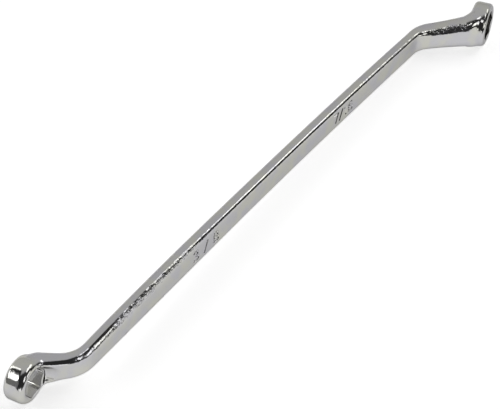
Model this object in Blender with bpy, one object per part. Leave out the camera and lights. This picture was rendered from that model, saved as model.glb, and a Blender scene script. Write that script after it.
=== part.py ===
"""A double-offset box-end wrench for brake bleeder screws, forged and chrome plated.

It is drawn with the S that the shank and its two necks make flat in the XY plane, X along
the shank and each socket's axis in that plane too. It is then rolled over to lie as it would
on a bench, on the rims of its heads and one edge of its shank. Lengths are in metres, angles
in degrees.
"""
from math import atan, cos, pi, radians, sin, sqrt

import bmesh
import bpy
from mathutils import Matrix, Vector
from mathutils.geometry import intersect_ray_tri

# Shank: a flat bar with rounded edges and a slight bow in the plane of the S
SHANK_LENGTH = 0.2122
SHANK_WIDTH = 0.0102
SHANK_THICKNESS = 0.0045
SHANK_EDGE_RADIUS = 0.0011
SHANK_BOW = 0.00133
SHANK_END_EASE = 8

# Near head, at -X, whose neck turns towards +Y
NEAR_BEND_ANGLE = 46.7
NEAR_BEND_RADIUS = 0.011
NEAR_NECK_LENGTH = 0.00705
NEAR_NECK_ROOT_WIDTH = 0.0093
NEAR_NECK_ROOT_THICKNESS = 0.0045
NEAR_NECK_WAIST_WIDTH = 0.0094
NEAR_NECK_WAIST_THICKNESS = 0.0052
NEAR_NECK_TIP_WIDTH = 0.0112
NEAR_NECK_TIP_THICKNESS = 0.0061
NEAR_NECK_EDGE_RADIUS = 0.0019
NEAR_NECK_RISE = 0.0026
NEAR_HEAD_TILT = 7.9
NEAR_HEAD_DIAMETER = 0.01575
NEAR_HEAD_DEPTH = 0.0074
NEAR_HEX = 0.009525

# Far head, at +X, whose neck turns towards -Y
FAR_BEND_ANGLE = 42.8
FAR_BEND_RADIUS = 0.0125
FAR_NECK_LENGTH = 0.0159
FAR_NECK_ROOT_WIDTH = 0.0099
FAR_NECK_ROOT_THICKNESS = 0.0045
FAR_NECK_WAIST_WIDTH = 0.0105
FAR_NECK_WAIST_THICKNESS = 0.0077
FAR_NECK_TIP_WIDTH = 0.0130
FAR_NECK_TIP_THICKNESS = 0.0088
FAR_NECK_EDGE_RADIUS = 0.0030
FAR_NECK_RISE = 0.00485
FAR_HEAD_TILT = 13.5
FAR_HEAD_DIAMETER = 0.0186
FAR_HEAD_DEPTH = 0.0076
FAR_HEX = 0.0111125

# Shared details of the two heads and necks. A mouth's chamfer runs from the hexagon's flats,
# its depth below the face, to a lip outside the hexagon's corners
NECK_FLARE = 1.3
NECK_BURIED = 0.0018
HEAD_EDGE_RADIUS = 0.0017
HEX_CLEARANCE = 0.0001
HEX_TURN = 0.0
MOUTH_LIP = 0.0004
MOUTH_DEPTH = 0.0009

# Gap left where one forged region meets the next
SEAM_GAP = 0.0003

# Largest shares of a side and of a rim that their rounding may take
ROUND_SHARE = 0.49
RIM_SHARE = 0.9

# Head depths over which a neck is cut clear in front of its socket
WAY_OUT_DEPTHS = 2.0

# Facets of the round stretches
CORNER_STEPS = 4
SHANK_STEPS = 24
BEND_STEPS = 8
NECK_STEPS = 4
HEAD_SIDES = 64

UP = Vector((0, 0, 1))

NEAR = dict(
    name="near", side=-1, bend_angle=NEAR_BEND_ANGLE, bend_radius=NEAR_BEND_RADIUS,
    neck_length=NEAR_NECK_LENGTH, rise=NEAR_NECK_RISE, tilt=NEAR_HEAD_TILT,
    root=(NEAR_NECK_ROOT_WIDTH, NEAR_NECK_ROOT_THICKNESS),
    waist=(NEAR_NECK_WAIST_WIDTH, NEAR_NECK_WAIST_THICKNESS),
    tip=(NEAR_NECK_TIP_WIDTH, NEAR_NECK_TIP_THICKNESS), edge=NEAR_NECK_EDGE_RADIUS,
    diameter=NEAR_HEAD_DIAMETER, depth=NEAR_HEAD_DEPTH, hexagon=NEAR_HEX,
)
FAR = dict(
    name="far", side=1, bend_angle=FAR_BEND_ANGLE, bend_radius=FAR_BEND_RADIUS,
    neck_length=FAR_NECK_LENGTH, rise=FAR_NECK_RISE, tilt=FAR_HEAD_TILT,
    root=(FAR_NECK_ROOT_WIDTH, FAR_NECK_ROOT_THICKNESS),
    waist=(FAR_NECK_WAIST_WIDTH, FAR_NECK_WAIST_THICKNESS),
    tip=(FAR_NECK_TIP_WIDTH, FAR_NECK_TIP_THICKNESS), edge=FAR_NECK_EDGE_RADIUS,
    diameter=FAR_HEAD_DIAMETER, depth=FAR_HEAD_DEPTH, hexagon=FAR_HEX,
)


def clear_scene():
    for obj in list(bpy.data.objects):
        bpy.data.objects.remove(obj, do_unlink=True)


def chrome(name, grey, roughness):
    material = bpy.data.materials.new(name)
    material.use_nodes = True
    shader = material.node_tree.nodes["Principled BSDF"]
    shader.inputs["Base Color"].default_value = (grey, grey, grey * 0.98, 1)
    shader.inputs["Metallic"].default_value = 1.0
    shader.inputs["Roughness"].default_value = roughness
    return material


def loft(name, loops):
    """A closed body through loops of equal count, each counter-clockwise about its way on."""
    bm = bmesh.new()
    rings = [[bm.verts.new(point) for point in loop] for loop in loops]
    for ring, following in zip(rings, rings[1:]):
        for i in range(len(ring)):
            j = (i + 1) % len(ring)
            bm.faces.new((ring[i], ring[j], following[j], following[i]))
    bm.faces.new(list(reversed(rings[0])))
    bm.faces.new(rings[-1])
    mesh = bpy.data.meshes.new(name)
    bm.to_mesh(mesh)
    bm.free()
    mesh.shade_smooth()
    mesh.set_sharp_from_angle(angle=radians(30))
    obj = bpy.data.objects.new(name, mesh)
    bpy.context.scene.collection.objects.link(obj)
    return obj


def bar_loop(centre, heading, width, thickness, radius):
    """A rounded rectangle across the heading, its width along Z."""
    across = UP.cross(heading)
    radius = min(radius, ROUND_SHARE * thickness, ROUND_SHARE * width)
    corners = ((1, 1, 0), (-1, 1, 90), (-1, -1, 180), (1, -1, 270))
    points = []
    for along_sign, up_sign, start in corners:
        for step in range(CORNER_STEPS + 1):
            turn = radians(start + 90 * step / CORNER_STEPS)
            a = along_sign * (thickness / 2 - radius) + radius * cos(turn)
            b = up_sign * (width / 2 - radius) + radius * sin(turn)
            points.append(centre + across * a + UP * b)
    return points


def round_loop(radius, height, sides=HEAD_SIDES):
    # A facet, not a corner, faces each way along the two axes
    turns = [2 * pi * (i + 0.5) / sides for i in range(sides)]
    return [Vector((radius * cos(t), radius * sin(t), height)) for t in turns]


def mix(a, b, share):
    return a + (b - a) * share


def shank_end_slope():
    return atan(4 * SHANK_BOW / SHANK_LENGTH)


def shank_point(share):
    """A point of the bowed centre line, and the heading there; share runs from -1 to 1."""
    x = share * SHANK_LENGTH / 2
    slope = -4 * SHANK_BOW * share / SHANK_LENGTH
    centre = Vector((x, SHANK_BOW * (1 - share * share), 0))
    return centre, Vector((1, slope, 0)).normalized()


def shank_size(share):
    """Width and thickness: full in the middle, easing to each neck's own at the bends."""
    end = NEAR if share < 0 else FAR
    ease = abs(share) ** SHANK_END_EASE
    return mix(SHANK_WIDTH, end["root"][0], ease), mix(SHANK_THICKNESS, end["root"][1], ease)


def build_shank():
    reach = 1 - SEAM_GAP / SHANK_LENGTH
    loops = []
    for step in range(SHANK_STEPS + 1):
        share = reach * (2 * step / SHANK_STEPS - 1)
        centre, heading = shank_point(share)
        loops.append(bar_loop(centre, heading, *shank_size(share), SHANK_EDGE_RADIUS))
    return loft("shank", loops)


def neck_path(end):
    """Centre points and headings from the shank's end round the bend to the neck's tip."""
    side = end["side"]
    start = Vector((side * SHANK_LENGTH / 2, 0, 0))
    first = side * shank_end_slope()
    last = radians(end["bend_angle"])
    radius = end["bend_radius"]
    path = []
    point = start
    before = first
    for step in range(BEND_STEPS + 1):
        angle = mix(first, last, step / BEND_STEPS)
        mean = (before + angle) / 2
        chord = 2 * radius * sin((angle - before) / 2)
        point = point + chord * bend_heading(side, mean)
        path.append((point, bend_heading(side, angle)))
        before = angle
    bend_end, heading = path[-1]
    for step in range(1, NECK_STEPS + 1):
        path.append((bend_end + heading * end["neck_length"] * step / NECK_STEPS, heading))
    return path


def bend_heading(side, angle):
    return Vector((side * cos(angle), -side * sin(angle), 0))


def hex_corner_radius(end):
    return (end["hexagon"] + HEX_CLEARANCE) / sqrt(3)


def mouth_radius(end):
    return hex_corner_radius(end) + MOUTH_LIP


def head_matrix(end):
    """Head frame: local X points away from the shank, local Z to the side the neck comes from."""
    side = end["side"]
    tilt = radians(end["tilt"])
    outward = Vector((side * cos(tilt), side * sin(tilt), 0))
    neck_side = Vector((-side * sin(tilt), side * cos(tilt), 0))
    wall_middle = (end["diameter"] / 2 + hex_corner_radius(end)) / 2
    tip = neck_path(end)[-1][0]
    centre = tip + outward * wall_middle - neck_side * end["rise"]
    axes = Matrix((outward, neck_side.cross(outward), neck_side)).transposed()
    return Matrix.Translation(centre) @ axes.to_4x4()


def cut_away(obj, cutter):
    cutter.hide_render = True
    cutter.display_type = "WIRE"
    boolean = obj.modifiers.new(cutter.name, "BOOLEAN")
    boolean.operation = "DIFFERENCE"
    boolean.solver = "EXACT"
    boolean.object = cutter


def build_head(end):
    """A deep ring with rounded rims, a hexagon right through it and a chamfer at each mouth."""
    name = end["name"] + "_box_end"
    half = end["depth"] / 2
    radius = end["diameter"] / 2
    rim = min(HEAD_EDGE_RADIUS, ROUND_SHARE * end["depth"], RIM_SHARE * (radius - mouth_radius(end)))
    turns = [pi / 2 * step / CORNER_STEPS for step in range(CORNER_STEPS + 1)]
    lower = [(radius - rim + rim * sin(t), -half + rim - rim * cos(t)) for t in turns]
    upper = [(radius - rim + rim * cos(t), half - rim + rim * sin(t)) for t in turns]
    head = loft(name, [round_loop(r, z) for r, z in lower + upper])
    place = head_matrix(end)
    head.matrix_world = place

    corner = hex_corner_radius(end)
    hexagon = [Vector((corner * cos(t), corner * sin(t), 0)) for t in hex_turns()]
    reach = Vector((0, 0, end["depth"]))
    socket = loft(name + "_socket", [[p - reach for p in hexagon], [p + reach for p in hexagon]])
    socket.matrix_world = place
    cut_away(head, socket)
    flat = (end["hexagon"] + HEX_CLEARANCE) / 2
    widths = ((flat, half - MOUTH_DEPTH), (2 * mouth_radius(end) - flat, half + MOUTH_DEPTH))
    for sign, mouth_name in ((-1, "_lower_mouth"), (1, "_upper_mouth")):
        loops = [round_loop(r, sign * z) for r, z in widths]
        mouth = loft(name + mouth_name, loops if sign > 0 else list(reversed(loops)))
        mouth.matrix_world = place
        cut_away(head, mouth)
    return head


def hex_turns():
    return [radians(HEX_TURN + 60 * i) for i in range(6)]


def neck_size(end, index):
    """Width and thickness at one station: narrowing round the bend, then flaring to the head."""
    if index <= BEND_STEPS:
        before, after, share = end["root"], end["waist"], index / BEND_STEPS
    else:
        before, after = end["waist"], end["tip"]
        share = ((index - BEND_STEPS) / NECK_STEPS) ** NECK_FLARE
    return mix(before[0], after[0], share), mix(before[1], after[1], share)


def build_neck(end):
    """The bend and neck, cut clear of the head that it carries and of the socket's way out."""
    name = end["name"] + "_neck"
    path = neck_path(end)
    loops = []
    for index, (point, heading) in enumerate(path):
        radius = mix(SHANK_EDGE_RADIUS, end["edge"], min(1, index / BEND_STEPS))
        centre = point + heading * SEAM_GAP / 2 if index == 0 else point
        loops.append(bar_loop(centre, heading, *neck_size(end, index), radius))
    tip, heading = path[-1]
    loops.append(bar_loop(tip + heading * NECK_BURIED, heading, *end["tip"], end["edge"]))
    neck = loft(name, loops)

    place = head_matrix(end)
    half = end["depth"] / 2 + SEAM_GAP
    outer = end["diameter"] / 2 + SEAM_GAP
    seat = loft(name + "_seat", [round_loop(outer, -half), round_loop(outer, half)])
    bore = mouth_radius(end)
    clear = WAY_OUT_DEPTHS * end["depth"]
    way_out = loft(name + "_way_out", [round_loop(bore, -half), round_loop(bore, clear)])
    for cutter in (seat, way_out):
        cutter.matrix_world = place
        cut_away(neck, cutter)
    return neck


def finished_mesh(pieces):
    """The pieces as they come out of their cuts, in one bmesh of triangles."""
    bpy.context.view_layer.update()
    graph = bpy.context.evaluated_depsgraph_get()
    bm = bmesh.new()
    for piece in pieces:
        mesh = bpy.data.meshes.new_from_object(piece.evaluated_get(graph))
        mesh.transform(piece.matrix_world)
        bm.from_mesh(mesh)
        bpy.data.meshes.remove(mesh)
    bmesh.ops.triangulate(bm, faces=bm.faces)
    return bm


def centre_of_mass(bm):
    total = 0
    moment = Vector()
    for face in bm.faces:
        a, b, c = (vert.co for vert in face.verts)
        volume = a.dot(b.cross(c)) / 6
        total += volume
        moment += volume * (a + b + c) / 4
    return moment / total


def resting_turn(bm):
    """The smallest turn that lays the wrench on a side of its hull that holds it up."""
    centre = centre_of_mass(bm)
    hull = bmesh.new()
    for vert in bm.verts:
        hull.verts.new(vert.co)
    made = bmesh.ops.convex_hull(hull, input=hull.verts)
    sides = [item for item in made["geom"] if isinstance(item, bmesh.types.BMFace)]
    downs = []
    for side in bmesh.ops.triangulate(hull, faces=sides)["faces"]:
        side.normal_update()
        out = side.normal if side.normal.dot(side.verts[0].co - centre) > 0 else -side.normal
        if intersect_ray_tri(*[vert.co for vert in side.verts], out, centre, True):
            downs.append(out.copy())
    hull.free()
    return max(downs, key=lambda out: -out.z).rotation_difference(-UP)


def lay_down(pieces):
    """Hang the pieces on one empty, lay it down and bring the box's underside to the origin."""
    frame = bpy.data.objects.new("wrench", None)
    bpy.context.scene.collection.objects.link(frame)
    for obj in bpy.data.objects:
        if obj is not frame:
            obj.parent = frame
    bm = finished_mesh(pieces)
    turn = resting_turn(bm).to_matrix()
    points = [turn @ vert.co for vert in bm.verts]
    bm.free()
    low = [min(point[axis] for point in points) for axis in range(3)]
    high = [max(point[axis] for point in points) for axis in range(3)]
    shift = Vector((-(low[0] + high[0]) / 2, -(low[1] + high[1]) / 2, -low[2]))
    frame.matrix_world = Matrix.Translation(shift) @ turn.to_4x4()


def main():
    clear_scene()
    shank = build_shank()
    necks = [build_neck(end) for end in (NEAR, FAR)]
    heads = [build_head(end) for end in (NEAR, FAR)]
    shank.data.materials.append(chrome("shank_chrome", 0.70, 0.16))
    for neck in necks:
        neck.data.materials.append(chrome(neck.name + "_chrome", 0.68, 0.18))
    for head in heads:
        head.data.materials.append(chrome(head.name + "_chrome", 0.66, 0.20))
    lay_down([shank] + necks + heads)


main()
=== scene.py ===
# Brake bleeder wrench: one forged, chrome-plated bar with an offset box head at each end
import math

import bmesh
import bpy
from mathutils import Euler, Matrix, Vector
from mathutils.bvhtree import BVHTree
from mathutils.kdtree import KDTree


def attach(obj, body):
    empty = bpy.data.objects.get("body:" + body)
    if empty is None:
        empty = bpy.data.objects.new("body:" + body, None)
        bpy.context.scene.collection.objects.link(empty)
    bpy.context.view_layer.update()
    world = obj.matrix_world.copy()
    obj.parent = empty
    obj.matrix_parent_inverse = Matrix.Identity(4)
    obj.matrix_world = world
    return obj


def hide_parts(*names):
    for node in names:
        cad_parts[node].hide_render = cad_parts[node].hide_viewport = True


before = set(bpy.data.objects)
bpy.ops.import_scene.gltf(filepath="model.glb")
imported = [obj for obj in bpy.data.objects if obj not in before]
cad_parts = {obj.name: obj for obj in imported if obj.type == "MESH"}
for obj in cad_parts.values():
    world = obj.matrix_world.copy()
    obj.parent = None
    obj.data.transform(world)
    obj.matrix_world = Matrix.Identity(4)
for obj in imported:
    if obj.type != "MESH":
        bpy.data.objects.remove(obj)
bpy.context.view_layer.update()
print("frame loaded:", ", ".join(sorted(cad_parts)))

# drawn with the S of the bar flat in XY, then laid down as it rests on the bench
lying = {
    "turn": (-17.67573, 1.51156, -0.23504),
    "shift": (-0.0050142, 0.0036784, 0.0079586),
}

# an edge is its reach along the thickness, along the width, and how far it is ground flat
shank = {
    "length": 0.21217,
    "width": 0.0102,
    "thick": 0.0045,
    "edge": (0.00125, 0.00165, 0.0),
    "swell": 0.04,  # wider between the near bend and the middle
    "swellAt": -0.5,  # places along the shank are shares of its half length
    "swellReach": 0.5,
    "trimmedEdge": (0.0014, 0.0025, 0.6),  # the flash is ground off towards the near bend
    "trimFrom": 0.25,
    "trimFull": 0.85,
    "bow": 0.00133,
    "endEase": 8,
    "steps": 80,
}

# widths and thicknesses come in pairs, from the shank's end to the head
nearEnd = {
    "side": -1,
    "bend": 46.7,
    "bendRadius": 0.011,
    "neck": 0.00705,
    "root": (0.0093, 0.0045),
    "waist": (0.0094, 0.0052),
    "tip": (0.0112, 0.0061),
    "edge": (0.0019, 0.0019, 0.0),
    "tipEdge": (0.0019, 0.0019, 0.0),
    "seam": 0.05,  # share of the neck at which the swept bar meets the head's own mesh
    "rise": 0.0026,
    "tilt": 7.9,
    "across": 0.01565,
    "depth": 0.0074,
    "rim": 0.0023,
    "backRim": 0.0013,
    "hexagon": 0.009625,
}

farEnd = {
    "side": 1,
    "bend": 42.8,
    "bendRadius": 0.0125,
    "neck": 0.0159,
    "root": (0.0099, 0.0045),
    "waist": (0.0105, 0.0077),
    "tip": (0.0130, 0.0088),
    "edge": (0.0030, 0.0028, 0.0),
    "tipEdge": (0.0036, 0.0044, 0.0),
    "seam": 0.4,
    "rise": 0.00485,
    "tilt": 13.5,
    "across": 0.0186,
    "depth": 0.0076,
    "rim": 0.0017,
    "backRim": 0.0017,
    "hexagon": 0.0112125,
}

forging = {
    "cornerRounds": 8,
    "edgeShare": 0.49,  # the most of a side that one edge may take
    "flatSteps": 6,
    "bendSteps": 14,
    "neckSteps": 10,
    "headSteps": 10,
    "flare": 1.3,
    "shoulder": 0.97,  # the bar's width and thickness inside a head, as shares of the head's
    "shoulderDepth": 0.9,
    "shoulderEase": 0.72,
    "headSides": 128,
    "voxel": 0.0002,
    "blend": 0.0032,
    "blendPull": 0.5,
    "blendPasses": 120,
    "keepBack": 0.003,
    "socketReach": 4,  # cutters' lengths are in head depths
    "mouthLip": 0.0001,
    "mouthDepth": 0.00035,
    "hexagonTurn": 30,
    "cornerFillet": 0.0006,
    "filletSteps": 4,
    "dishSlope": 0.4,
    "dishReach": 3,
    "dishSides": 96,
    "weld": 0.00001,
    "smoothUpTo": 35,
}
hair = 0.000001  # vertices closer than this are in one place


def pickOnly(obj):
    bpy.ops.object.select_all(action="DESELECT")
    obj.select_set(True)
    bpy.context.view_layer.objects.active = obj


def editOn(obj):
    pickOnly(obj)
    bpy.ops.object.mode_set(mode="EDIT")
    bpy.ops.mesh.select_all(action="SELECT")


def editOff():
    bpy.ops.object.mode_set(mode="OBJECT")


def pickEdges(obj, test):
    bpy.ops.mesh.select_all(action="DESELECT")
    bpy.ops.mesh.select_mode(type="EDGE")
    mesh = bmesh.from_edit_mesh(obj.data)
    for edge in mesh.edges:
        edge.select_set(test(edge))
    bmesh.update_edit_mesh(obj.data)


def settle(obj, matrix):
    obj.matrix_world = matrix
    pickOnly(obj)
    bpy.ops.object.transform_apply(location=True, rotation=True, scale=True)


def applyModifier(obj, modifier):
    pickOnly(obj)
    bpy.ops.object.modifier_apply(modifier=modifier.name)


def combine(obj, other, operation, solver="EXACT"):
    boolean = obj.modifiers.new(operation.lower(), "BOOLEAN")
    boolean.operation = operation
    boolean.solver = solver
    boolean.object = other
    applyModifier(obj, boolean)
    bpy.data.objects.remove(other, do_unlink=True)


def mix(a, b, share):
    return a + (b - a) * share


def mixAll(a, b, share):
    return tuple(mix(p, q, share) for p, q in zip(a, b))


def ramp(value, low, high):
    share = min(1.0, max(0.0, (value - low) / (high - low)))
    return share * share * (3 - 2 * share)


def travel(angle):
    return Vector((math.cos(angle), math.sin(angle), 0))


def cornerRadius(end):
    return end["hexagon"] / math.sqrt(3)


def shankMiddle(x):
    share = 2 * x / shank["length"]
    place = Vector((x, shank["bow"] * (1 - share * share), 0))
    return place, math.atan(-4 * shank["bow"] * share / shank["length"])


# the upper edge of the marked face, then the other three
def shankEdge(share):
    ground = ramp(-share, shank["trimFrom"], shank["trimFull"])
    return (*mixAll(shank["edge"], shank["trimmedEdge"], ground), *shank["edge"])


# a station of the bar is its centre, heading, width, thickness and edges
def shankStations():
    stations = []
    for step in range(shank["steps"] + 1):
        share = 2 * step / shank["steps"] - 1
        end = nearEnd if share < 0 else farEnd
        ease = abs(share) ** shank["endEase"]
        width, thick = mixAll((shank["width"], shank["thick"]), end["root"], ease)
        bulge = ramp(abs(share - shank["swellAt"]), shank["swellReach"], 0)
        width *= 1 + shank["swell"] * bulge
        middle = shankMiddle(share * shank["length"] / 2)
        stations.append((*middle, width, thick, shankEdge(share)))
    return stations


def neckStations(end):
    side = end["side"]
    first = -side * math.atan(4 * shank["bow"] / shank["length"])
    last = -math.radians(end["bend"])
    point = Vector((side * shank["length"] / 2, 0, 0))
    stations = []
    before = first
    for step in range(1, forging["bendSteps"] + 1):
        share = step / forging["bendSteps"]
        angle = mix(first, last, share)
        chord = 2 * end["bendRadius"] * math.sin(abs(angle - before) / 2)
        point = point + side * chord * travel((before + angle) / 2)
        size = mixAll(end["root"], end["waist"], share)
        stations.append((point, angle, *size, mixAll(shankEdge(side), end["edge"] * 2, share)))
        before = angle
    for step in range(1, forging["neckSteps"] + 1):
        share = step / forging["neckSteps"]
        place = point + side * travel(last) * end["neck"] * share
        size = mixAll(end["waist"], end["tip"], share ** forging["flare"])
        stations.append((place, last, *size, mixAll(end["edge"] * 2, end["tipEdge"] * 2, share)))
    return stations


def headPlace(end, tip):
    side = end["side"]
    tilt = math.radians(end["tilt"])
    outward = side * travel(tilt)
    neckSide = side * Vector((-math.sin(tilt), math.cos(tilt), 0))
    wallMiddle = (end["across"] / 2 + cornerRadius(end)) / 2
    centre = tip[0] + outward * wallMiddle - neckSide * end["rise"]
    axes = Matrix((outward, neckSide.cross(outward), neckSide)).transposed()
    return Matrix.Translation(centre) @ axes.to_4x4()


# the neck runs on into the head, turning into its plane and widening to its shoulders
def headStations(end, tip):
    start, heading, width, thick, edge = tip
    place = headPlace(end, tip)
    middle = place.translation
    neckSide = place.col[2].to_3d()
    ahead = end["side"] * travel(heading)
    drop = (start - middle).dot(neckSide) / -ahead.dot(neckSide)
    elbow = start + ahead * drop
    stations = []
    for step in range(1, forging["headSteps"] + 1):
        t = step / forging["headSteps"]
        point = start * (1 - t) ** 2 + elbow * 2 * t * (1 - t) + middle * t * t
        along = (elbow - start) * (1 - t) + (middle - elbow) * t
        along *= end["side"]
        size = (
            mix(width, end["across"] * forging["shoulder"], t ** forging["shoulderEase"]),
            mix(thick, end["depth"] * forging["shoulderDepth"], t),
        )
        angle = math.atan2(along.y, along.x)
        rim = (end["rim"], end["rim"], 0.0)
        stations.append((point, angle, *size, mixAll(edge, rim * 2, t)))
    return stations


def edgeAt(edges, sideSign, upSign):
    return edges[:3] if sideSign < 0 < upSign else edges[3:]


def barLoop(centre, heading, width, thick, edges):
    across = travel(heading + math.radians(90))
    up = Vector((0, 0, 1))
    corners = []
    for sideSign, upSign, start in ((1, 1, 0), (-1, 1, 90), (-1, -1, 180), (1, -1, 270)):
        deep, tall, flat = edgeAt(edges, sideSign, upSign)
        deep = min(deep, forging["edgeShare"] * thick)
        tall = min(tall, forging["edgeShare"] * width)
        first = travel(math.radians(start))
        last = travel(math.radians(start + 90))
        corner = []
        for step in range(forging["cornerRounds"] + 1):
            share = step / forging["cornerRounds"]
            arc = travel(math.radians(start + 90 * share))
            reach = arc.lerp(first.lerp(last, share), flat)
            a = sideSign * (thick / 2 - deep) + deep * reach.x
            b = upSign * (width / 2 - tall) + tall * reach.y
            corner.append(centre + across * a + up * b)
        corners.append(corner)
    loop = []
    for corner, after in zip(corners, corners[1:] + corners[:1]):
        loop += corner
        for step in range(1, forging["flatSteps"]):
            loop.append(corner[-1].lerp(after[0], step / forging["flatSteps"]))
    return loop


def sweepBar(stations):
    mesh = bmesh.new()
    rings = [[mesh.verts.new(p) for p in barLoop(*station)] for station in stations]
    for ring, after in zip(rings, rings[1:]):
        for i, vert in enumerate(ring):
            j = (i + 1) % len(ring)
            mesh.faces.new((vert, ring[j], after[j], after[i]))
    mesh.faces.new(list(reversed(rings[0])))
    mesh.faces.new(rings[-1])
    data = bpy.data.meshes.new("forgedBar")
    mesh.to_mesh(data)
    mesh.free()
    bar = bpy.data.objects.new("forgedBar", data)
    bpy.context.scene.collection.objects.link(bar)
    editOn(bar)
    bpy.ops.mesh.normals_make_consistent(inside=False)
    editOff()
    return bar


nearLine = neckStations(nearEnd)
farLine = neckStations(farEnd)
nearTip, farTip = nearLine[-1], farLine[-1]
nearLine += headStations(nearEnd, nearTip)
farLine += headStations(farEnd, farTip)
barLine = [*reversed(nearLine), *shankStations(), *farLine]
bar = sweepBar(barLine)
print("bar swept:", len(bar.data.polygons), "faces")

# socket sizes in inches, each struck into the broad face on its own head's half
sizeMarks = [
    {"text": "3/8", "along": -0.0422, "up": -0.0003, "height": 0.0044, "pitch": 0.0061},
    {"text": "7/16", "along": 0.0500, "up": 0.0002, "height": 0.0044, "pitch": 0.0034},
]

# a round-nosed punch
strike = {"tool": 0.0005, "depth": 0.00044, "widen": 1.35, "toolRounds": 4, "curveSteps": 6}

# strokes of each figure, one high and centred on its foot; one that ends at its start is closed
figures = {
    "1": [[(-0.16, 0.80), (0.04, 1.0)], [(0.04, 1.0), (0.04, 0.0)]],
    "3": [
        [(-0.24, 0.88), (-0.02, 1.0), (0.20, 0.78), (-0.06, 0.54)],
        [(-0.06, 0.54), (0.25, 0.28), (-0.02, 0.0), (-0.27, 0.14)],
    ],
    "6": [
        [(0.20, 0.95), (-0.06, 0.88), (-0.24, 0.50), (-0.24, 0.28)],
        [(0.0, 0.56), (0.24, 0.28), (0.0, 0.0), (-0.24, 0.28), (0.0, 0.56)],
    ],
    "7": [[(-0.26, 1.0), (0.24, 1.0)], [(0.24, 1.0), (-0.08, 0.0)]],
    "8": [
        [(0.0, 1.0), (0.20, 0.77), (0.0, 0.54), (-0.20, 0.77), (0.0, 1.0)],
        [(0.0, 0.54), (0.26, 0.27), (0.0, 0.0), (-0.26, 0.27), (0.0, 0.54)],
    ],
    "/": [[(-0.20, -0.04), (0.20, 1.04)]],
}


def strikeStroke(points, height, place):
    closed = points[0] == points[-1]
    line = bpy.data.curves.new("stroke", "CURVE")
    line.dimensions = "3D"
    line.bevel_depth = strike["tool"]
    line.bevel_resolution = strike["toolRounds"]
    line.resolution_u = strike["curveSteps"]
    line.use_fill_caps = True
    path = line.splines.new("BEZIER")
    path.use_cyclic_u = closed
    path.bezier_points.add(len(points) - 1 - closed)
    for knot, (x, y) in zip(path.bezier_points, points):
        knot.co = (x * strike["widen"] * height, y * height, strike["tool"] - strike["depth"])
        knot.handle_left_type = knot.handle_right_type = "AUTO"
    stroke = bpy.data.objects.new("stroke", line)
    bpy.context.scene.collection.objects.link(stroke)
    pickOnly(stroke)
    bpy.ops.object.convert(target="MESH")
    stroke = bpy.context.object
    editOn(stroke)
    bpy.ops.mesh.remove_doubles(threshold=hair)
    bpy.ops.mesh.normals_make_consistent(inside=False)
    editOff()
    settle(stroke, place)
    combine(bar, stroke, "DIFFERENCE", "MANIFOLD")


def strikeMark(mark):
    for number, figure in enumerate(mark["text"]):
        step = (number - (len(mark["text"]) - 1) / 2) * mark["pitch"]
        middle, heading = shankMiddle(mark["along"] + step)
        outward = -travel(heading + math.radians(90))
        foot = middle + outward * shank["thick"] / 2
        foot.z += mark["up"] - mark["height"] / 2
        axes = Matrix((travel(heading), (0, 0, 1), outward)).transposed().to_4x4()
        for points in figures[figure]:
            strikeStroke(points, mark["height"], Matrix.Translation(foot) @ axes)


for mark in sizeMarks:
    strikeMark(mark)
print("marks struck:", len(bar.data.polygons), "faces")


def headBlank(end, place):
    bpy.ops.mesh.primitive_cylinder_add(
        vertices=forging["headSides"], radius=end["across"] / 2, depth=end["depth"]
    )
    blank = bpy.context.object
    for face, rim in ((1, end["rim"]), (-1, end["backRim"])):
        editOn(blank)
        pickEdges(
            blank,
            lambda edge: all(
                abs(vert.co.z - face * end["depth"] / 2) < hair
                and abs(vert.co.xy.length - end["across"] / 2) < hair
                for vert in edge.verts
            ),
        )
        bpy.ops.mesh.bevel(offset=rim, segments=forging["cornerRounds"], affect="EDGES")
        editOff()
    settle(blank, place)
    return blank


# the neck is dished where it would stand in front of the socket
def wayOut(end, place):
    reach = forging["dishReach"] * end["depth"]
    mouth = cornerRadius(end) + forging["mouthLip"]
    bpy.ops.mesh.primitive_cone_add(
        vertices=forging["dishSides"],
        radius1=mouth,
        radius2=mouth + reach * forging["dishSlope"],
        depth=reach,
    )
    hollow = bpy.context.object
    settle(hollow, place @ Matrix.Translation((0, 0, end["depth"] / 2 + reach / 2)))
    return hollow


def treeOf(obj):
    mesh = bmesh.new()
    mesh.from_mesh(obj.data)
    tree = BVHTree.FromBMesh(mesh)
    mesh.free()
    return tree


def keepAhead(obj, point, ahead, fill):
    editOn(obj)
    bpy.ops.mesh.bisect(
        plane_co=point, plane_no=ahead, use_fill=fill, clear_inner=True, clear_outer=False
    )
    editOff()


def neckSeam(end, tip):
    ahead = end["side"] * travel(tip[1])
    return tip[0] - ahead * end["neck"] * (1 - end["seam"]), ahead


def headSkin(end, tip, name):
    place = headPlace(end, tip)
    blank = headBlank(end, place)
    pickOnly(bar)
    bpy.ops.object.duplicate()
    head = bpy.context.object
    head.name = name
    seam, ahead = neckSeam(end, tip)
    keepAhead(head, seam - ahead * forging["keepBack"], ahead, True)
    combine(head, wayOut(end, place), "DIFFERENCE")
    nearWall, nearBar = treeOf(blank), treeOf(head)
    combine(head, blank, "UNION")

    head.data.remesh_voxel_size = forging["voxel"]
    pickOnly(head)
    bpy.ops.object.voxel_remesh()
    group = head.vertex_groups.new(name="joinBlend")
    for vert in head.data.vertices:
        apart = max(nearWall.find_nearest(vert.co)[3], nearBar.find_nearest(vert.co)[3])
        group.add([vert.index], max(0.0, 1 - apart / forging["blend"]), "REPLACE")
    smooth = head.modifiers.new("joinBlend", "SMOOTH")
    smooth.factor = forging["blendPull"]
    smooth.iterations = forging["blendPasses"]
    smooth.vertex_group = "joinBlend"
    applyModifier(head, smooth)
    head.vertex_groups.clear()

    cutSocket(head, end, place)
    return head


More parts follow.
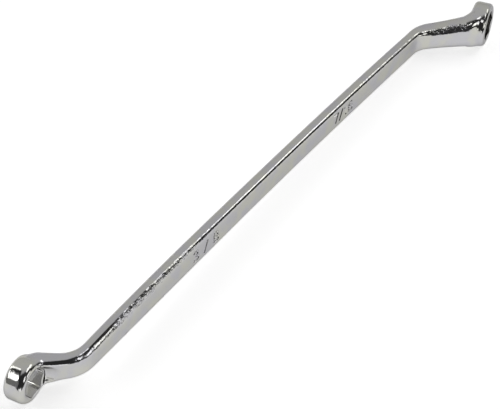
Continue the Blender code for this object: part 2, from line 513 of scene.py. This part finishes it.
def cutSocket(head, end, place):
    corner = cornerRadius(end)
    length = forging["socketReach"] * end["depth"]
    bpy.ops.mesh.primitive_cylinder_add(vertices=6, radius=corner, depth=length)
    hexagon = bpy.context.object
    editOn(hexagon)
    pickEdges(hexagon, lambda edge: abs(edge.verts[0].co.z - edge.verts[1].co.z) > hair)
    bpy.ops.mesh.bevel(
        offset=forging["cornerFillet"], segments=forging["filletSteps"], affect="EDGES"
    )
    editOff()
    settle(hexagon, place @ Matrix.Rotation(math.radians(forging["hexagonTurn"]), 4, "Z"))
    combine(head, hexagon, "DIFFERENCE", "MANIFOLD")
    # each mouth's chamfer runs from the hexagon's flats out past its corners
    lip = corner + forging["mouthLip"]
    flat = end["hexagon"] / 2
    for turn in (0, 180):
        bpy.ops.mesh.primitive_cone_add(
            vertices=forging["headSides"],
            radius1=flat,
            radius2=2 * lip - flat,
            depth=2 * forging["mouthDepth"],
        )
        cone = bpy.context.object
        flip = Matrix.Rotation(math.radians(turn), 4, "X")
        settle(cone, place @ flip @ Matrix.Translation((0, 0, end["depth"] / 2)))
        combine(head, cone, "DIFFERENCE", "MANIFOLD")


nearHead = headSkin(nearEnd, nearTip, "nearHead")
farHead = headSkin(farEnd, farTip, "farHead")
print("heads:", len(nearHead.data.polygons), len(farHead.data.polygons), "faces")


def joinSkin():
    for head, end, tip in ((nearHead, nearEnd, nearTip), (farHead, farEnd, farTip)):
        seam, ahead = neckSeam(end, tip)
        keepAhead(head, seam, ahead, False)
        keepAhead(bar, seam - ahead * forging["voxel"], -ahead, False)
    pickOnly(bar)
    nearHead.select_set(True)
    farHead.select_set(True)
    bpy.ops.object.join()
    skin = bpy.context.object
    skin.name = "wrenchSkin"
    for side in (-1, 1):
        editOn(skin)
        pickEdges(skin, lambda edge: edge.is_boundary and side * edge.verts[0].co.x > 0)
        bpy.ops.mesh.bridge_edge_loops()
        editOff()
    editOn(skin)
    bpy.ops.mesh.remove_doubles(threshold=forging["weld"])
    bpy.ops.mesh.dissolve_degenerate(threshold=forging["weld"])
    bpy.ops.mesh.select_all(action="SELECT")
    bpy.ops.mesh.quads_convert_to_tris()
    # slivers of the cuts that fold flat hang on by one side
    mesh = bmesh.from_edit_mesh(skin.data)
    slivers = [face for face in mesh.faces if sum(edge.is_boundary for edge in face.edges) > 1]
    bmesh.ops.delete(mesh, geom=slivers, context="FACES")
    bmesh.update_edit_mesh(skin.data)
    bpy.ops.mesh.select_all(action="SELECT")
    bpy.ops.mesh.delete_loose()
    bpy.ops.mesh.normals_make_consistent(inside=False)
    editOff()
    return skin


skin = joinSkin()
print("skin joined:", len(skin.data.polygons), "faces")

# the plating is pitted on the rounded edges, most of all on two stretches of the bar
wear = {
    "stretches": [
        {"from": (-0.100, -0.086), "to": (-0.056, -0.040), "share": 1.0},
        {"from": (0.104, 0.112), "to": (0.122, 0.130), "share": 0.3},
    ],
    "elsewhere": 0.2,
    "fade": 0.0005,
}


# the wear is 0 on the flat faces, and a stretch's share on its rounded edges
def markWear():
    finder = KDTree(len(barLine))
    for index, station in enumerate(barLine):
        finder.insert(station[0], index)
    finder.balance()
    worn = skin.data.attributes.new("edgeWear", "FLOAT", "POINT")
    for vert in skin.data.vertices:
        centre, heading, width, thick, edges = barLine[finder.find(vert.co)[1]]
        out = (vert.co - centre).dot(travel(heading + math.radians(90)))
        deep, tall, _ = edgeAt(edges, out, vert.co.z)
        nearBroad = ramp(abs(out) - (thick / 2 - deep), -wear["fade"], wear["fade"])
        nearNarrow = ramp(abs(vert.co.z) - (width / 2 - tall), -wear["fade"], wear["fade"])
        share = wear["elsewhere"]
        for stretch in wear["stretches"]:
            inside = ramp(vert.co.x, *stretch["from"]) * (1 - ramp(vert.co.x, *stretch["to"]))
            share = max(share, stretch["share"] * inside)
        worn.data[vert.index].value = nearBroad * nearNarrow * share


markWear()
turn = Euler([math.radians(a) for a in lying["turn"]]).to_matrix().to_4x4()
settle(skin, Matrix.Translation(lying["shift"]) @ turn)
bpy.ops.object.shade_smooth_by_angle(angle=math.radians(forging["smoothUpTo"]))
print("edges worn")

# sizes and heights are in metres, and a span is the part of a noise's values that is spread out
chrome = {
    "warm": (0.515, 0.512, 0.470, 1),
    "cool": (0.485, 0.482, 0.500, 1),
    "grazing": (0.5, 0.5, 0.5, 1),  # the metal's tint at its outline
    "patch": {"size": 0.006, "detail": 3, "span": (0.38, 0.62)},  # over which the tint drifts
    "roughness": (0.07, 0.16),
    "smear": {"size": 0.003, "detail": 4, "span": (0.35, 0.65)},
    "pitRoughness": 0.04,
    "swell": {"size": 0.009, "detail": 2, "height": 0.00002},  # hammered waves of the forging
    "pebble": {"size": 0.0011, "detail": 2, "height": 0.0000025},  # tumbled skin under the plating
    "pits": {"size": 0.0019, "detail": 3, "height": 0.00062, "level": 0.5},
}


def chromeFinish():
    material = bpy.data.materials.new("brightChrome")
    material.use_nodes = True
    nodes, links = material.node_tree.nodes, material.node_tree.links
    shader = nodes["Principled BSDF"]
    shader.inputs["Metallic"].default_value = 1
    shader.inputs["Specular Tint"].default_value = chrome["grazing"]
    place = nodes.new("ShaderNodeTexCoord")
    worn = nodes.new("ShaderNodeAttribute")
    worn.attribute_name = "edgeWear"

    def noise(grain):
        texture = nodes.new("ShaderNodeTexNoise")
        texture.inputs["Scale"].default_value = 1 / grain["size"]
        texture.inputs["Detail"].default_value = grain["detail"]
        links.new(place.outputs["Object"], texture.inputs["Vector"])
        return texture.outputs["Fac"]

    def compute(operation, first, second):
        node = nodes.new("ShaderNodeMath")
        node.operation = operation
        for socket, value in zip(node.inputs, (first, second)):
            if isinstance(value, (int, float)):
                socket.default_value = value
            else:
                links.new(value, socket)
        return node.outputs[0]

    def spread(grain, ends):
        node = nodes.new("ShaderNodeMapRange")
        node.inputs["From Min"].default_value, node.inputs["From Max"].default_value = grain["span"]
        node.inputs["To Min"].default_value, node.inputs["To Max"].default_value = ends
        links.new(noise(grain), node.inputs["Value"])
        return node.outputs["Result"]

    def relief(grain):
        return compute("MULTIPLY", noise(grain), grain["height"])

    tint = nodes.new("ShaderNodeMix")
    tint.data_type = "RGBA"
    tint.inputs["A"].default_value = chrome["warm"]
    tint.inputs["B"].default_value = chrome["cool"]
    links.new(spread(chrome["patch"], (0, 1)), tint.inputs["Factor"])
    links.new(tint.outputs["Result"], shader.inputs["Base Color"])

    smear = spread(chrome["smear"], chrome["roughness"])
    pitted = compute("MULTIPLY", worn.outputs["Fac"], chrome["pitRoughness"])
    links.new(compute("ADD", smear, pitted), shader.inputs["Roughness"])

    pits = compute("SUBTRACT", noise(chrome["pits"]), chrome["pits"]["level"])
    pits = compute("MULTIPLY", pits, chrome["pits"]["height"])
    pits = compute("MULTIPLY", pits, worn.outputs["Fac"])
    waves = compute("ADD", relief(chrome["swell"]), relief(chrome["pebble"]))
    bump = nodes.new("ShaderNodeBump")
    bump.inputs["Distance"].default_value = 1
    links.new(compute("ADD", waves, pits), bump.inputs["Height"])
    links.new(bump.outputs["Normal"], shader.inputs["Normal"])
    return material


skin.data.materials.clear()
skin.data.materials.append(chromeFinish())
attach(skin, "root")
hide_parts("shank", "near_neck", "far_neck", "near_box_end", "far_box_end")

# the bench glows just enough to be seen as white, also in the chrome
floor = {
    "size": 6.0,
    "drop": 0.0002,
    "colour": (0.9, 0.9, 0.9, 1),
    "roughness": 0.9,
    "glow": 0.56,
}


def makeFloor():
    bpy.ops.mesh.primitive_plane_add(size=floor["size"], location=(0, 0, -floor["drop"]))
    sheet = bpy.context.object
    sheet.name = "benchTop"
    material = bpy.data.materials.new("paleBench")
    material.use_nodes = True
    nodes, links = material.node_tree.nodes, material.node_tree.links
    shader = nodes["Principled BSDF"]
    shader.inputs["Base Color"].default_value = floor["colour"]
    shader.inputs["Roughness"].default_value = floor["roughness"]
    path = nodes.new("ShaderNodeLightPath")
    either = nodes.new("ShaderNodeMath")
    either.operation = "MAXIMUM"
    links.new(path.outputs["Is Camera Ray"], either.inputs[0])
    links.new(path.outputs["Is Glossy Ray"], either.inputs[1])
    shader.inputs["Emission Color"].default_value = (1, 1, 1, 1)
    scale = nodes.new("ShaderNodeMath")
    scale.operation = "MULTIPLY"
    scale.inputs[1].default_value = floor["glow"]
    links.new(either.outputs[0], scale.inputs[0])
    links.new(scale.outputs[0], shader.inputs["Emission Strength"])
    sheet.data.materials.append(material)


makeFloor()

studio = {
    "paleSide": (0.69, 0.69, 0.20),  # the room is pale this way and dim behind the camera
    "turnsAt": (0.12, 0.42),
    "dimSide": (-0.287, 0.710, 0.643),  # and dim again beside the left window
    "turnsBackAt": (0.935, 0.97),
    "dim": 0.035,
    "pale": 0.66,
}

# each softbox stands at place and is turned to the point that it faces
softboxes = [
    {
        "name": "overheadPanel",
        "place": (1.652, -0.351, 1.843),
        "faces": (0.0, 0.0, 0.0),
        "size": (1.14, 0.48),
        "watts": 3.9,
    },
    {
        "name": "bendCard",
        "place": (0.195, -0.155, 0.60),
        "faces": (0.195, -0.135, 0.0),
        "size": (0.15, 0.29),
        "watts": 0.33,
    },
    {
        "name": "leftWindow",
        "place": (-0.758, 0.729, 0.604),
        "faces": (-0.02, 0.0, 0.0),
        "size": (0.68, 0.36),
        "watts": 2.2,
    },
    {
        "name": "frontStrip",
        "place": (-0.155, -1.00, 0.70),
        "faces": (0.0, -0.01, 0.01),
        "size": (0.25, 0.50),
        "watts": 0.86,
    },
    {
        "name": "lowCard",
        "place": (0.335, -0.93, 0.295),
        "faces": (-0.10, 0.0, 0.01),
        "size": (0.34, 0.25),
        "watts": 0.6,
    },
    {
        "name": "leftCard",
        "place": (-0.135, 0.92, 0.43),
        "faces": (-0.135, 0.012, 0.01),
        "size": (0.13, 0.85),
        "watts": 0.78,
    },
    {
        "name": "rearCard",
        "place": (-0.03, -0.075, 0.30),
        "faces": (0.125, -0.012, 0.015),
        "size": (0.09, 0.05),
        "watts": 0.034,
    },
    {
        "name": "nearCard",
        "place": (-0.70, -0.68, 0.10),
        "faces": (-0.12, 0.01, 0.01),
        "size": (0.30, 0.18),
        "watts": 0.3,
    },
    {
        "name": "leftFill",
        "place": (-1.151, 0.284, 0.332),
        "faces": (-0.135, 0.012, 0.01),
        "size": (0.62, 0.66),
        "watts": 0.26,
    },
    {
        "name": "dishFill",
        "place": (-1.061, -0.533, 0.115),
        "faces": (-0.12, 0.01, 0.01),
        "size": (0.40, 0.17),
        "watts": 0.2,
    },
]


def makeWorld():
    world = bpy.data.worlds.new("studio")
    bpy.context.scene.world = world
    world.use_nodes = True
    nodes, links = world.node_tree.nodes, world.node_tree.links
    back = nodes["Background"]
    place = nodes.new("ShaderNodeTexCoord")

    def fade(side, turns, low, high):
        facing = nodes.new("ShaderNodeVectorMath")
        facing.operation = "DOT_PRODUCT"
        facing.inputs[1].default_value = side
        links.new(place.outputs["Generated"], facing.inputs[0])
        share = nodes.new("ShaderNodeMapRange")
        share.interpolation_type = "SMOOTHSTEP"
        share.inputs["From Min"].default_value, share.inputs["From Max"].default_value = turns
        share.inputs["To Min"].default_value = low
        share.inputs["To Max"].default_value = high
        links.new(facing.outputs["Value"], share.inputs["Value"])
        return share.outputs["Result"]

    level = nodes.new("ShaderNodeMath")
    level.operation = "MINIMUM"
    pale = fade(studio["paleSide"], studio["turnsAt"], studio["dim"], studio["pale"])
    dim = fade(studio["dimSide"], studio["turnsBackAt"], studio["pale"], studio["dim"])
    links.new(pale, level.inputs[0])
    links.new(dim, level.inputs[1])
    links.new(level.outputs[0], back.inputs["Color"])


def makeSoftbox(box):
    bpy.ops.object.light_add(type="AREA", location=box["place"])
    lamp = bpy.context.object
    lamp.name = box["name"]
    backwards = Vector(box["place"]) - Vector(box["faces"])
    lamp.rotation_euler = backwards.to_track_quat("Z", "Y").to_euler()
    lamp.data.shape = "RECTANGLE"
    lamp.data.size, lamp.data.size_y = box["size"]
    lamp.data.energy = box["watts"]


makeWorld()
for box in softboxes:
    makeSoftbox(box)
print("studio:", len(softboxes), "softboxes")

camera = {
    "place": (-0.32925, -0.10011, 0.42245),
    "turn": (36.05699, -13.54672, -53.83840),
    "lens": 102.96,
    "sensor": 36,
    "clipStart": 0.01,
}


def makeCamera():
    bpy.ops.object.camera_add()
    cam = bpy.context.object
    cam.name = "bench"
    cam.location = camera["place"]
    cam.rotation_euler = [math.radians(a) for a in camera["turn"]]
    cam.data.sensor_width = camera["sensor"]
    cam.data.lens = camera["lens"]
    cam.data.clip_start = camera["clipStart"]
    bpy.context.scene.camera = cam


makeCamera()
bpy.context.scene.view_settings.view_transform = "Standard"
